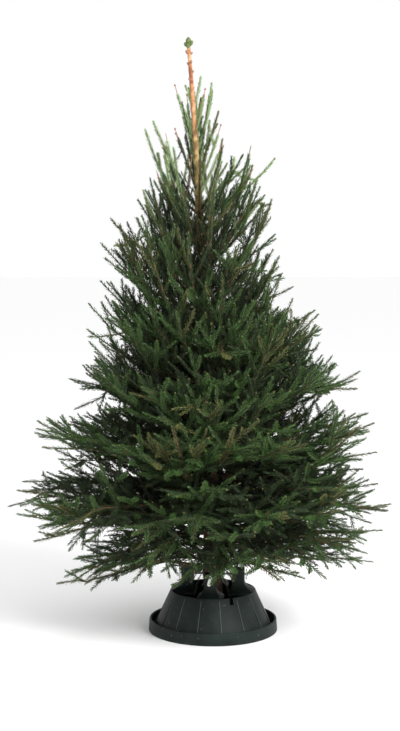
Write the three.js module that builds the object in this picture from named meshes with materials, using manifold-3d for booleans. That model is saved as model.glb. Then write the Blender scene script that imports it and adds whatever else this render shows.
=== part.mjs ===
// A cut spruce Christmas tree in its plastic water stand, in millimetres with +Z up.
// The origin is the middle of the stand's flat underside, and +X is the side away from the trunk's lean.
// The crown is ten whorls of boughs. Each bough carries one mass of foliage, which fills the space
// half way to the whorls above and below it, and half way to its neighbours in its own whorl.
import * as THREE from "three";
import { mergeVertices } from "three/addons/utils/BufferGeometryUtils.js";
import Module from "manifold-3d";

const wasm = await Module();
wasm.setup();

// ---------------------------------------------------------------- driving dimensions

const GAP = 0.4; // between pieces that touch
const TREE_TOP = 2025;

const stand = {
  rimRadius: 223,
  rimTopRadius: 220,
  rimHeight: 42,
  rimWall: 6,
  gutterFloor: 14,
  coneFootRadius: 201,
  coneStep: 8, // the upright step at the foot of the cone
  collarRadius: 148,
  collarHeight: 142,
  wall: 4.5,
  floor: 8,
  chamfer: 4,
  segments: 36,
  ribs: 15,
  ribWidth: 2.4,
  ribHeight: 2.2,
  ribTurn: -82, // degrees, the rib nearest the front
  ribBelowRim: 12,
  ribBelowCollar: 8,
  bite: 2, // how far ribs and posts run into the shell, so that they join it
};

const post = {
  count: 4,
  turn: -96, // degrees, the post nearest the front
  top: 218,
  inner: 70, // the face that looks at the trunk, from the middle of the stand
  outer: 110,
  waist: 178, // below this height the outer face flares out to the collar
  topWidth: 38,
  footWidth: 92,
  shoulder: 12, // from the top of the collar down to the widest part of the flare
  underShoulder: 30,
  edge: 3, // the cut edge at the top
};

const screw = {
  height: 196,
  rod: 4, // radius
  outerEnd: 116,
  handleLength: 38,
  handleWidth: 12,
  handleThickness: 4,
  turns: [-12, 4, -40, 8], // how far each handle is turned from upright, in degrees
};

const fillingNotch = { turn: -66, width: 13, depth: 22 };

const trunk = {
  buttRadius: 34,
  leaderRadius: 5.5,
  taper: 1.1,
  buttSwell: 3,
  buttX: 5,
  lean: 0.031, // sideways for each millimetre of height
  sweep: 28, // the leader's own bend on top of the lean
  wave: 10, // depth of the slow curve from front to back
  sides: 12,
  rings: 20,
  budRadius: 9,
  budLength: 24,
};

// root: where the boughs leave the trunk. tip: the height of their tips. reach: from the trunk to the
// tips. turn: the direction of the first bough in degrees. bare: the stretch of limb with no foliage.
// growth: the share by which single boughs outgrow the rest of their whorl, or fall short of it.
// droop: how much lower the tips of single boughs hang.
const whorls = [
  { root: 1675, tip: 1870, reach: 84, boughs: 3, turn: 20, bare: 0 },
  { root: 1555, tip: 1735, reach: 112, boughs: 3, turn: 80, bare: 0 },
  { root: 1420, tip: 1590, reach: 222, boughs: 4, turn: 5, bare: 48, growth: { 2: -0.2 } },
  { root: 1235, tip: 1405, reach: 295, boughs: 4, turn: 40, bare: 0 },
  { root: 1060, tip: 1230, reach: 350, boughs: 4, turn: -5, bare: 0, growth: { 2: 0.05 } },
  { root: 890, tip: 1055, reach: 440, boughs: 5, turn: 36, bare: 0 },
  { root: 715, tip: 865, reach: 525, boughs: 5, turn: 30, bare: 0, growth: { 2: -0.06 } },
  { root: 550, tip: 695, reach: 578, boughs: 5, turn: -8, bare: 0, growth: { 3: 0.12 } },
  { root: 400, tip: 450, reach: 632, boughs: 5, turn: -20, bare: 0, growth: { 0: 0.07, 3: 0.14 } },
  {
    root: 300,
    tip: 300,
    reach: 515,
    boughs: 6,
    turn: 0,
    bare: 150,
    growth: { 0: 0.15, 3: 0.16 },
    droop: { 1: 30, 2: 60, 3: 115, 4: 45 },
  },
];

const foliage = {
  along: 4, // grid of each mass: along the bough, across it and through its depth
  across: 4,
  deep: 2,
  clearance: 7, // from a mass to the surface half way to the next whorl
  trunkClearance: 5,
  sideGap: 2.5, // degrees between neighbours in a whorl
  mostDepth: 100, // above or below the limb
  openDepth: 60, // where there is no next whorl
  bend: 1.35, // over 1 the limbs turn up towards their tips
  sideCut: 0.12, // how much shorter a mass is at its sides than along its limb
  topCut: 0.1, // and how much shorter at its top and at its underside
  floorCut: 0.16,
  thinning: 0.2, // the depth lost towards the tips
  unevenness: 0.2, // how far single shoots fall short of the outline
  growthUnevenness: 0.07, // how far whole boughs fall short of their whorl
  spreadUnevenness: 0.1, // the same for the width and the depth of a mass
  depthUnevenness: 0.2,
  tipNarrowing: 0.12, // the width lost towards the tips
};

const limb = { rootRadius: 11, tipRadius: 6, forReach: 540, rootGap: 2, sides: 6, rings: 3 };

// ---------------------------------------------------------------- small tools

// A repeatable source of numbers from 0 to 1.
function seeded(seed) {
  let state = seed >>> 0;
  return () => {
    state = (state + 0x6d2b79f5) >>> 0;
    let t = Math.imul(state ^ (state >>> 15), 1 | state);
    t = (t + Math.imul(t ^ (t >>> 7), 61 | t)) ^ t;
    return ((t ^ (t >>> 14)) >>> 0) / 4294967296;
  };
}

const radians = THREE.MathUtils.degToRad;

function solidOf(geometry) {
  const plain = geometry.clone();
  plain.deleteAttribute("normal");
  plain.deleteAttribute("uv");
  const merged = mergeVertices(plain, 1e-4);
  return new wasm.Manifold(
    new wasm.Mesh({
      numProp: 3,
      vertProperties: merged.attributes.position.array,
      triVerts: new Uint32Array(merged.index.array),
    }),
  );
}

function geometryOf(solid) {
  const mesh = solid.getMesh();
  const geometry = new THREE.BufferGeometry();
  geometry.setAttribute("position", new THREE.BufferAttribute(mesh.vertProperties, 3));
  geometry.setIndex(new THREE.BufferAttribute(mesh.triVerts, 1));
  geometry.computeVertexNormals();
  return geometry;
}

// Sends each vertex of a geometry to the place that the rule gives for it.
function reshape(geometry, rule) {
  const position = geometry.attributes.position;
  const at = new THREE.Vector3();
  for (let i = 0; i < position.count; i++) {
    const to = rule(at.fromBufferAttribute(position, i));
    position.setXYZ(i, to.x, to.y, to.z);
  }
  geometry.computeVertexNormals();
  return geometry;
}

// A round tapering limb along a line. place(t) is its middle and radius(t) its radius, t from 0 to 1.
function taperedLimb(place, radius, sides, rings) {
  return reshape(new THREE.CylinderGeometry(1, 1, 1, sides, rings), (v) => {
    const t = v.y + 0.5;
    const step = 0.01;
    const ahead = place(Math.min(1, t + step)).sub(place(Math.max(0, t - step))).normalize();
    const side = new THREE.Vector3(0, 1, 0).cross(ahead);
    if (side.length() < 0.3) side.set(1, 0, 0).cross(ahead);
    side.normalize();
    const up = ahead.clone().cross(side);
    return place(t).addScaledVector(up, v.x * radius(t)).addScaledVector(side, v.z * radius(t));
  });
}

// ---------------------------------------------------------------- the trunk

function trunkMiddle(z) {
  const share = z / TREE_TOP;
  const x = trunk.buttX - trunk.lean * z - trunk.sweep * share ** 4;
  const y = trunk.wave * Math.sin(Math.PI * share);
  return new THREE.Vector3(x, y, z);
}

function trunkRadius(z) {
  const share = Math.min(1, z / TREE_TOP);
  const wood = trunk.leaderRadius + (trunk.buttRadius - trunk.leaderRadius) * (1 - share) ** trunk.taper;
  return wood + trunk.buttSwell * Math.exp(-z / 60);
}

function trunkGeometry() {
  const foot = stand.floor + GAP;
  const woodTop = TREE_TOP - trunk.budLength;
  const bud = (z) => trunk.budRadius * Math.sin(Math.PI * (0.18 + 0.72 * ((z - woodTop) / trunk.budLength)));
  // The last rings are the bud, and the rest share out the wood.
  const budRings = 4;
  const woodRings = trunk.rings - budRings;
  const heightAt = (t) => {
    const ring = t * trunk.rings;
    return ring <= woodRings
      ? foot + ((woodTop - foot) * ring) / woodRings
      : woodTop + (trunk.budLength * (ring - woodRings)) / budRings;
  };
  return reshape(new THREE.CylinderGeometry(1, 1, 1, trunk.sides, trunk.rings), (v) => {
    const height = heightAt(v.y + 0.5);
    const radius = height > woodTop + 0.1 ? bud(height) : trunkRadius(height);
    return trunkMiddle(height).add(new THREE.Vector3(v.x * radius, -v.z * radius, 0));
  });
}

// ---------------------------------------------------------------- boughs and foliage

// The height of a whorl's limbs at a distance from the trunk. Past the tips the line carries on.
function limbHeight(whorl, distance) {
  return whorl.root + (whorl.tip - whorl.root) * (distance / whorl.reach) ** foliage.bend;
}

// How far a single limb hangs below the rest of its whorl.
function sag(whorl, number, distance) {
  return (whorl.droop?.[number] ?? 0) * (distance / whorl.reach) ** foliage.bend;
}

// How far foliage may stand above or below a limb: half the way to the next whorl's limbs.
function roomTo(whorl, other, distance) {
  if (!other) return foliage.openDepth;
  const half = Math.abs(limbHeight(other, distance) - limbHeight(whorl, distance)) / 2;
  return Math.max(2, Math.min(foliage.mostDepth, half - foliage.clearance));
}

function boughTurn(whorl, number) {
  return radians(whorl.turn + (360 * number) / whorl.boughs);
}

function aroundTrunk(distance, turn, height) {
  const middle = trunkMiddle(height);
  middle.x += distance * Math.cos(turn);
  middle.y += distance * Math.sin(turn);
  return middle;
}

function foliageGeometry(index, number) {
  const whorl = whorls[index];
  const random = seeded(100 * index + number + 1);
  const { along, across, deep } = foliage;
  const corners = (along + 1) * (across + 1) * (deep + 1);
  const lattice = Array.from({ length: corners }, () => [random(), random(), random()]);
  const shortfall = foliage.growthUnevenness * (1 - random());
  const reach = whorl.reach * (1 + (whorl.growth?.[number] ?? 0)) * (1 - shortfall);
  const halfSector = Math.PI / whorl.boughs - radians(foliage.sideGap / 2);
  const direction = boughTurn(whorl, number);
  return reshape(new THREE.BoxGeometry(1, 1, 1, along, across, deep), (p) => {
    const u = p.x + 0.5;
    const v = 2 * p.y;
    const w = 2 * p.z;
    const cell =
      (Math.round(u * along) * (across + 1) + Math.round((p.y + 0.5) * across)) * (deep + 1) +
      Math.round((p.z + 0.5) * deep);
    const [r1, r2, r3] = lattice[cell];
    const f = foliage;
    const ends = 1 - (w > 0 ? f.topCut : f.floorCut) * w * w;
    const outward = reach * ends * (1 - f.sideCut * v * v) * (1 - f.unevenness * r1 * u);
    const spread = halfSector * (1 - f.spreadUnevenness * r2) * (1 - f.tipNarrowing * u * u);
    const slim = (1 - f.thinning * u ** 2) * (1 - f.depthUnevenness * r3 * u);
    const start = Math.max(whorl.bare, trunkRadius(whorl.root) + foliage.trunkClearance);
    const distance = start + (outward - start) * u;
    const onLimb = limbHeight(whorl, distance);
    const room = roomTo(whorl, w > 0 ? whorls[index - 1] : whorls[index + 1], distance);
    const height = onLimb - sag(whorl, number, distance) + w * room * slim;
    const clear = Math.max(distance, trunkRadius(height) + foliage.trunkClearance);
    return aroundTrunk(clear, direction + v * spread, height);
  });
}

function boughGeometry(index, number) {
  const whorl = whorls[index];
  const from = trunkRadius(whorl.root) + limb.rootGap;
  const to = whorl.bare - limb.tipRadius; // clear of the mass, whose limbs are tilted
  const place = (t) => {
    const distance = from + (to - from) * t;
    const height = limbHeight(whorl, distance) - sag(whorl, number, distance);
    return aroundTrunk(distance, boughTurn(whorl, number), height);
  };
  const radius = (t) => limb.rootRadius + (limb.tipRadius - limb.rootRadius) * t;
  const scale = whorl.reach / limb.forReach;
  return taperedLimb(place, (t) => radius(t) * scale, limb.sides, limb.rings);
}

// ---------------------------------------------------------------- the stand

function standShell() {
  const s = stand;
  const outline = [
    [0, 0],
    [s.rimRadius - s.chamfer, 0],
    [s.rimRadius, s.chamfer],
    [s.rimTopRadius, s.rimHeight],
    [s.rimTopRadius - s.rimWall, s.rimHeight],
    [s.rimTopRadius - s.rimWall, s.gutterFloor],
    [s.coneFootRadius, s.gutterFloor],
    [s.coneFootRadius, s.gutterFloor + s.coneStep],
    [s.collarRadius, s.collarHeight - s.chamfer],
    [s.collarRadius - s.chamfer / 2, s.collarHeight],
    [s.collarRadius - s.wall - 1, s.collarHeight],
    [s.coneFootRadius - s.wall - s.chamfer / 2, s.gutterFloor + s.chamfer],
    [s.coneFootRadius - s.wall - s.coneStep, s.floor],
    [0, s.floor],
  ];
  const points = outline.map(([r, z]) => new THREE.Vector2(r, z));
  return solidOf(new THREE.LatheGeometry(points, s.segments).rotateX(Math.PI / 2));
}

// A thin fin on the cone that also bridges the gutter to the rim.
function standRib(number) {
  const s = stand;
  const fin = new THREE.Shape([
    new THREE.Vector2(s.rimTopRadius - s.rimWall + 1, s.gutterFloor - s.bite),
    new THREE.Vector2(s.rimTopRadius - s.rimWall + 1, s.rimHeight - s.ribBelowRim),
    new THREE.Vector2(s.coneFootRadius + s.ribHeight, s.gutterFloor + s.coneStep + 1),
    new THREE.Vector2(s.collarRadius + s.ribHeight, s.collarHeight - s.ribBelowCollar),
    new THREE.Vector2(s.collarRadius - s.bite, s.collarHeight - s.ribBelowCollar + s.bite),
    new THREE.Vector2(s.coneFootRadius - s.bite, s.gutterFloor - s.bite),
  ]);
  const plate = new THREE.ExtrudeGeometry(fin, { depth: s.ribWidth, bevelEnabled: false });
  plate.translate(0, 0, -s.ribWidth / 2).rotateX(Math.PI / 2);
  plate.rotateZ(radians(s.ribTurn + (360 * number) / s.ribs));
  return solidOf(plate);
}

// A pillar from the tank's floor. Its outer face and its sides flare out where it meets the collar.
// The ring below gives its section from the middle of the stand outwards, and the plate its front view.
function standPost(turn) {
  const s = stand;
  const p = post;
  const section = new THREE.Path();
  section.moveTo(p.inner, s.floor - s.bite);
  section.lineTo(s.coneFootRadius - s.wall, s.floor - s.bite);
  section.lineTo(s.collarRadius - 1, s.collarHeight - s.bite);
  section.quadraticCurveTo(p.outer + 6, s.collarHeight + 10, p.outer + 1, p.waist);
  section.lineTo(p.outer, p.top - p.edge);
  section.lineTo(p.outer - p.edge, p.top);
  section.lineTo(p.inner, p.top);
  section.closePath();
  const ring = new THREE.LatheGeometry(section.getPoints(3), s.segments);
  ring.rotateX(Math.PI / 2);

  const half = p.topWidth / 2;
  const flare = p.footWidth / 2;
  const bend = new THREE.Vector2(half + 3, s.collarHeight + 6);
  const flareTop = s.collarHeight - s.chamfer;
  const flareFoot = s.collarHeight - p.shoulder;
  const stemTop = s.collarHeight - p.underShoulder;
  const foot = s.floor - s.bite - 1;
  const front = new THREE.Shape();
  front.moveTo(-half, foot);
  front.lineTo(-half, stemTop);
  front.lineTo(-flare, flareFoot);
  front.lineTo(-flare, flareTop);
  front.quadraticCurveTo(-bend.x, bend.y, -half, p.waist);
  front.lineTo(-half, p.top + 1);
  front.lineTo(half, p.top + 1);
  front.lineTo(half, p.waist);
  front.quadraticCurveTo(bend.x, bend.y, flare, flareTop);
  front.lineTo(flare, flareFoot);
  front.lineTo(half, stemTop);
  front.lineTo(half, foot);
  const plate = new THREE.ExtrudeGeometry(front, {
    depth: s.rimRadius,
    bevelEnabled: false,
    curveSegments: 3,
  });
  plate.rotateX(Math.PI / 2).rotateZ(Math.PI / 2);
  return solidOf(ring).intersect(solidOf(plate)).rotate([0, 0, turn]);
}

function screwHole(turn) {
  const length = 1.5 * (post.outer - post.inner);
  const hole = new THREE.CylinderGeometry(screw.rod + GAP, screw.rod + GAP, length, 12);
  hole.rotateZ(Math.PI / 2).translate((post.inner + post.outer) / 2, 0, screw.height);
  return solidOf(hole.rotateZ(radians(turn)));
}

function notchCutter() {
  const through = 60; // more than the collar is thick
  const cutter = new THREE.BoxGeometry(through, fillingNotch.width, fillingNotch.depth * 2);
  cutter.translate(stand.collarRadius, 0, stand.collarHeight);
  return solidOf(cutter.rotateZ(radians(fillingNotch.turn)));
}

const postTurns = Array.from({ length: post.count }, (_, i) => post.turn + (360 * i) / post.count);

function standGeometry() {
  let body = standShell();
  for (let i = 0; i < stand.ribs; i++) body = body.add(standRib(i));
  for (const turn of postTurns) body = body.add(standPost(turn)).subtract(screwHole(turn));
  return geometryOf(body.subtract(notchCutter()));
}

// A steel thumb screw: a rod that presses on the trunk, and a flat handle with round ends.
function screwGeometry(number) {
  const turn = postTurns[number];
  const inward = new THREE.Vector2(Math.cos(radians(turn)), Math.sin(radians(turn)));
  const middle = trunkMiddle(screw.height);
  // The trunk stands a little off the middle of the stand, so each rod has its own length.
  const tip = trunkRadius(screw.height) + GAP + inward.x * middle.x + inward.y * middle.y + 1;
  const rod = new THREE.CylinderGeometry(screw.rod, screw.rod, screw.outerEnd - tip, 10);
  rod.rotateZ(Math.PI / 2).translate((screw.outerEnd + tip) / 2, 0, 0);

  const half = screw.handleLength / 2 - screw.handleWidth / 2;
  const outline = new THREE.Shape();
  outline.absarc(half, 0, screw.handleWidth / 2, -Math.PI / 2, Math.PI / 2);
  outline.absarc(-half, 0, screw.handleWidth / 2, Math.PI / 2, (3 * Math.PI) / 2);
  const handle = new THREE.ExtrudeGeometry(outline, {
    depth: screw.handleThickness,
    bevelEnabled: false,
    curveSegments: 3,
  });
  // The plate holds the rod's end, with its long side square to the rod.
  handle.translate(0, 0, -screw.handleThickness / 2).rotateY(Math.PI / 2);
  handle.rotateX(radians(screw.turns[number])).translate(screw.outerEnd, 0, 0);
  const made = geometryOf(solidOf(rod).add(solidOf(handle)));
  return made.translate(0, 0, screw.height).rotateZ(radians(turn));
}

// ---------------------------------------------------------------- materials and the finished tree

const bark = new THREE.MeshStandardMaterial({ color: 0x6b4a30, roughness: 0.9, metalness: 0 });
const needles = new THREE.MeshStandardMaterial({ color: 0x2c4a22, roughness: 0.7, metalness: 0 });
const plastic = new THREE.MeshStandardMaterial({ color: 0x26302b, roughness: 0.45, metalness: 0 });
const steel = new THREE.MeshStandardMaterial({ color: 0xb8bcc0, roughness: 0.35, metalness: 1 });

const tree = new THREE.Group();

function addPiece(name, geometry, material) {
  const mesh = new THREE.Mesh(geometry, material);
  mesh.name = name;
  tree.add(mesh);
}

addPiece("stand", standGeometry(), plastic);
postTurns.forEach((_, i) => addPiece(`screw_${i + 1}`, screwGeometry(i), steel));
addPiece("trunk", trunkGeometry(), bark);
whorls.forEach((whorl, index) => {
  for (let number = 0; number < whorl.boughs; number++) {
    const label = `${index + 1}_${number + 1}`;
    if (whorl.bare > 0) addPiece(`bough_${label}`, boughGeometry(index, number), bark);
    addPiece(`foliage_${label}`, foliageGeometry(index, number), needles);
  }
});

export default tree;
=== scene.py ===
# %% [markdown]
# # A cut spruce in its water stand
#
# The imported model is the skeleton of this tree: a trunk, a few bare boughs, and closed solids that
# say how far each spray of foliage reaches. This script keeps all of their places and sizes. It
# grows limbs, shoots and needles through the foliage solids, wraps the trunk in bark, and moulds the
# stand with its thumb screws.

# %% Load the frame
import math
import bmesh
import bpy
import numpy as np
from mathutils import Matrix, Vector, noise
from mathutils.bvhtree import BVHTree


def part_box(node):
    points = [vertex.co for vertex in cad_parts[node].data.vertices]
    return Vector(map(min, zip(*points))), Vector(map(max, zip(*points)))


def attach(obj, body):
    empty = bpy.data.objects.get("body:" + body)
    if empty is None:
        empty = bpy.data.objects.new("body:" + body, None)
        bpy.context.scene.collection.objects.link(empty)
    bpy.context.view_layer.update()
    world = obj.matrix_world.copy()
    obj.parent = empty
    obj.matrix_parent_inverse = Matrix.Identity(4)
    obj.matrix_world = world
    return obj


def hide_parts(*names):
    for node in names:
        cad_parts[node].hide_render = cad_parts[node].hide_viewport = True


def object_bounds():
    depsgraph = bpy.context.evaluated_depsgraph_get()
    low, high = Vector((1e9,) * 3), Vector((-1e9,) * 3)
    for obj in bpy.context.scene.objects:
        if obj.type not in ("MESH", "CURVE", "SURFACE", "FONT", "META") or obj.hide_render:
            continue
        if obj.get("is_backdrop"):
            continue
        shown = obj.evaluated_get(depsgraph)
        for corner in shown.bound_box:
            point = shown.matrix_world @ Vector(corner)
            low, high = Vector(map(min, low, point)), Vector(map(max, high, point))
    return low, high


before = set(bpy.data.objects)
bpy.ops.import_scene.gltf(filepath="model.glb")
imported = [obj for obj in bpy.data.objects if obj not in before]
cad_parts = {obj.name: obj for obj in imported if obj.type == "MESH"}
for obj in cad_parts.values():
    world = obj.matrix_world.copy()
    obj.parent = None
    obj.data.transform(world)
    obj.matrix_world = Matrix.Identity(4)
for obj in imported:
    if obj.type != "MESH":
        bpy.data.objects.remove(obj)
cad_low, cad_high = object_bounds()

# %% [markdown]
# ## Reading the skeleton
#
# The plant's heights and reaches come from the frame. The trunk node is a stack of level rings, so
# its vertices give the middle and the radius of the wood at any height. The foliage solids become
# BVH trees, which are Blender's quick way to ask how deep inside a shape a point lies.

chance = np.random.default_rng(20)
UP = np.array([0.0, 0.0, 1.0])
GOLDEN = math.radians(137.5)


def unit(vector):
    return vector / max(1e-9, np.linalg.norm(vector))


def toward(turn, rise=0.0):
    """The level direction at an angle round the upright axis, tilted up by a rise."""
    return np.array([math.cos(turn), math.sin(turn), rise])


def node_points(name):
    return np.array([v.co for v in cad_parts[name].data.vertices], float)


def whorl_of(name):
    """The number of a foliage node's whorl, counted from the top."""
    return int(name.split("_")[1])


def lowest(names):
    return min(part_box(n)[0].z for n in names)


def highest(names):
    return max(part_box(n)[1].z for n in names)


def placed(name, data):
    """A new object at the origin that holds a mesh, a lamp or a camera."""
    thing = bpy.data.objects.new(name, data)
    bpy.context.scene.collection.objects.link(thing)
    return thing


def mesh_from(name, shape):
    """A new mesh made from a bmesh, which is freed."""
    mesh = bpy.data.meshes.new(name)
    shape.to_mesh(mesh)
    shape.free()
    return mesh


# %% The trunk's middle and radius
trunk_points = node_points("trunk")
ring_heights = np.unique(trunk_points[:, 2].round(4))
rings = [trunk_points[abs(trunk_points[:, 2] - h) < 5e-4] for h in ring_heights]
ring_middles = np.array([(r.min(0) + r.max(0)) / 2 for r in rings])
ring_radii = np.array([(r[:, 0].max() - r[:, 0].min()) / 2 for r in rings])
trunk_foot, trunk_top = ring_heights[0], ring_heights[-1]


def trunk_at(height):
    x = np.interp(height, ring_heights, ring_middles[:, 0])
    y = np.interp(height, ring_heights, ring_middles[:, 1])
    return np.array([x, y, height])


def trunk_radius(height):
    return float(np.interp(height, ring_heights, ring_radii))


print("trunk from", round(trunk_foot, 3), "to", round(trunk_top, 3), "m")

# %% The foliage solids
foliage_names = sorted(
    (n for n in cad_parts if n.startswith("foliage_")),
    key=lambda n: [int(part) for part in n.split("_")[1:]],
)
bough_names = [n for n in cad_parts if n.startswith("bough_")]
whorls = sorted({whorl_of(n) for n in foliage_names}, reverse=True)
in_whorl = {whorl: [n for n in foliage_names if whorl_of(n) == whorl] for whorl in whorls}
SPIRE = 2
foliage_low = lowest(foliage_names)
spire_low = lowest(n for n in foliage_names if whorl_of(n) <= SPIRE)


def tree_of(names):
    """One BVH tree over the surfaces of several nodes."""
    points = []
    faces = []
    for name in names:
        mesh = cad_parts[name].data
        start = len(points)
        points += [v.co.copy() for v in mesh.vertices]
        faces += [[start + i for i in p.vertices] for p in mesh.polygons]
    return BVHTree.FromPolygons(points, faces)


crown = tree_of(foliage_names)
masses = {name: tree_of([name]) for name in foliage_names}


def depth_in_crown(point):
    """How far inside the foliage a point lies, in metres. Outside it is negative."""
    where, normal, _, distance = crown.find_nearest(Vector(point))
    inside = (Vector(point) - where).dot(normal) < 0
    return distance if inside else -distance


print(len(masses), "foliage solids and", len(bough_names), "bare boughs")

# %% [markdown]
# ## The outline between the whorls
#
# A spruce sets its strong boughs in whorls, one ring of them for each year. The shoots of one whorl
# rise in front of the next and close the notch between the two rings of tips. So growth may go on
# past a solid until it meets the line that joins the tips of the whorls. The line is found for each
# compass direction, because a real crown isn't round either.

# %% A table of the tips, by whorl and by direction
TURNS = 48
turn_middles = (np.arange(TURNS) + 0.5) * 2 * math.pi / TURNS
tip_heights = np.zeros((len(whorls), TURNS))
tip_reaches = np.zeros((len(whorls), TURNS))


def turned(angle):
    """An angle brought between -180 and 180 degrees, in radians."""
    return (angle + math.pi) % (2 * math.pi) - math.pi


for row, whorl in enumerate(whorls):
    tips = []
    for name in in_whorl[whorl]:
        points = node_points(name)
        away = points[:, :2] - np.array([trunk_at(z)[:2] for z in points[:, 2]])
        reach = np.linalg.norm(away, axis=1)
        far = reach > 0.97 * reach.max()
        turn = math.atan2(away[far, 1].mean(), away[far, 0].mean())
        tips.append((turn, reach.max(), points[far, 2].mean()))
    for column, middle in enumerate(turn_middles):
        nearest = min(tips, key=lambda tip: abs(turned(tip[0] - middle)))
        tip_reaches[row, column] = nearest[1]
        tip_heights[row, column] = nearest[2]
print("whorl tips at", tip_heights.mean(1).round(2))


def outwardness(point):
    """The share of the way from the trunk to the outline, 0 at the trunk and 1 at the tips."""
    x, y = point[:2] - trunk_at(point[2])[:2]
    column = int(math.atan2(y, x) % (2 * math.pi) / (2 * math.pi) * TURNS) % TURNS
    reach = np.interp(point[2], tip_heights[:, column], tip_reaches[:, column])
    return math.hypot(x, y) / reach


# %% Where growth has to stop
ROOM = 0.022
wall_low = np.array(cad_low) - ROOM
wall_high = np.array(cad_high) + ROOM
crown_floor = foliage_low - 0.03
crown_top = highest(foliage_names) + 0.03
outline_low = tip_heights[0].min() + 0.06
LIMIT_HEIGHTS, LIMITS = [0.42, 0.52, 0.66], [0.98, 0.92, 1.03]
HEM_ACROSS = [-0.27, -0.17, -0.07, -0.04, 0.04, 0.10, 0.24]
HEM_HEIGHTS = [crown_floor, 0.36, 0.36, 0.29, 0.29, 0.31, crown_floor]
FRONT_RISE = 0.235
LOOSE_ACROSS, LOOSE = [-0.50, -0.30, 0.30, 0.50], [0.09, 0.004, 0.004, 0.03]
SPIRE_LANE_FROM, SPIRE_LANE = 0.70 * cad_high.z, 0.016


def has_room(point, overshoot):
    """True while a point is in the foliage, or no further outside it than the overshoot."""
    if (point < wall_low).any() or (point > wall_high).any():
        return False
    if point[2] < crown_floor or point[2] > crown_top:
        return False
    # High up no shoot crosses the front of the leader, which stands bare there.
    in_front = point[2] > SPIRE_LANE_FROM and point[1] < 0
    if in_front and abs(point[0] - trunk_at(point[2])[0]) < SPIRE_LANE:
        return False
    if point[2] > outline_low:
        limit = np.interp(point[2], LIMIT_HEIGHTS, LIMITS) + 2 * overshoot
        return outwardness(point) < limit or depth_in_crown(point) > -overshoot
    # Over the stand the hem is cut back, and it rises towards the front, so that the stand shows.
    if point[2] + FRONT_RISE * min(0, point[1]) < np.interp(point[0], HEM_ACROSS, HEM_HEIGHTS):
        return False
    loose = np.interp(point[0], LOOSE_ACROSS, LOOSE)
    return depth_in_crown(point) > -min(overshoot + 0.5 * loose, loose)


# %% [markdown]
# ## How a spruce branches
#
# A bough is one long axis. Side shoots leave it left and right in nearly one plane, each at about 50
# degrees to it. They are shorter the nearer they stand to the tip, and they branch again by the same
# rule, so a bough is a flat, tapering fan. Only the last year's growth at each tip has no side
# shoots yet, which is what makes the outline spiky. High in the tree young shoots climb steeply. Low
# down they lie flat or hang.
#
# Ready-made sprays could be placed as instances, but copies repeat visibly, and they ignore the
# space that they fill. Here each axis grows step by step, and stops where the crown ends.

# %% An axis: the line that a limb or shoot follows
STEP = 0.014
BEND_UP, WANDER = 0.045, 0.012
axes = []


class Axis:
    """A grown line of wood. Order 0 is a limb, 1 its side shoots, and so on."""

    def __init__(self, points, order, share, spray):
        self.points = np.array(points)
        self.order = order
        self.share = share
        self.spray = spray
        steps = np.linalg.norm(np.diff(self.points, axis=0), axis=1)
        self.along = np.concatenate([[0], np.cumsum(steps)])
        self.length = self.along[-1]

    def at(self, where):
        """The point at one distance along the axis, or a row of points at several."""
        return np.array([np.interp(where, self.along, self.points[:, k]) for k in range(3)]).T

    def heading(self, distance):
        ahead = self.at(min(self.length, distance + STEP))
        return unit(ahead - self.at(max(0, distance - STEP)))


CLIMB_SHARES, CLIMBS = [0.14, 0.2, 0.28, 0.45, 0.6, 0.8], [-0.15, 0.0, 0.2, 0.55, 0.8, 1.0]


def climb_at(share):
    """How strongly shoots turn upwards at a share of the tree's height."""
    return float(np.interp(share, CLIMB_SHARES, CLIMBS))


def grow(start, heading, length, order, share, spray, overshoot):
    """Adds an axis that bends a little upwards until its length or the room ends, and returns it."""
    points = [np.array(start)]
    heading = unit(np.array(heading))
    climb = climb_at(share)
    wander = unit(chance.normal(size=3)) * WANDER
    for _ in range(max(2, int(length / STEP))):
        heading = unit(heading + UP * climb * BEND_UP + wander)
        point = points[-1] + heading * STEP
        if not has_room(point, overshoot):
            break
        points.append(point)
    if len(points) < 3:
        return None
    axes.append(Axis(points, order, share, spray))
    return axes[-1]


# %% Side shoots by the seeded rule
SPACING = {0: 0.040, 1: 0.040, 2: 0.050}
REACH_SHARE = {0: 0.62, 1: 0.55, 2: 0.5}
LONGEST = {0: 0.30, 1: 0.15, 2: 0.08}
LAST_YEAR = {0: 0.09, 1: 0.065, 2: 0.05}
SHORTEST, SHORTEST_FORKED = 0.045, 0.09
OVERSHOOTS = [-0.02, 0.0, 0.02, 0.045]
SPREAD = (32, 52)
SPARSE_SHARES, SPARSE = [0.14, 0.2, 0.45, 0.6, 0.72, 0.8], [1.5, 1.0, 1.0, 1.6, 2.7, 3.4]


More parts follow.
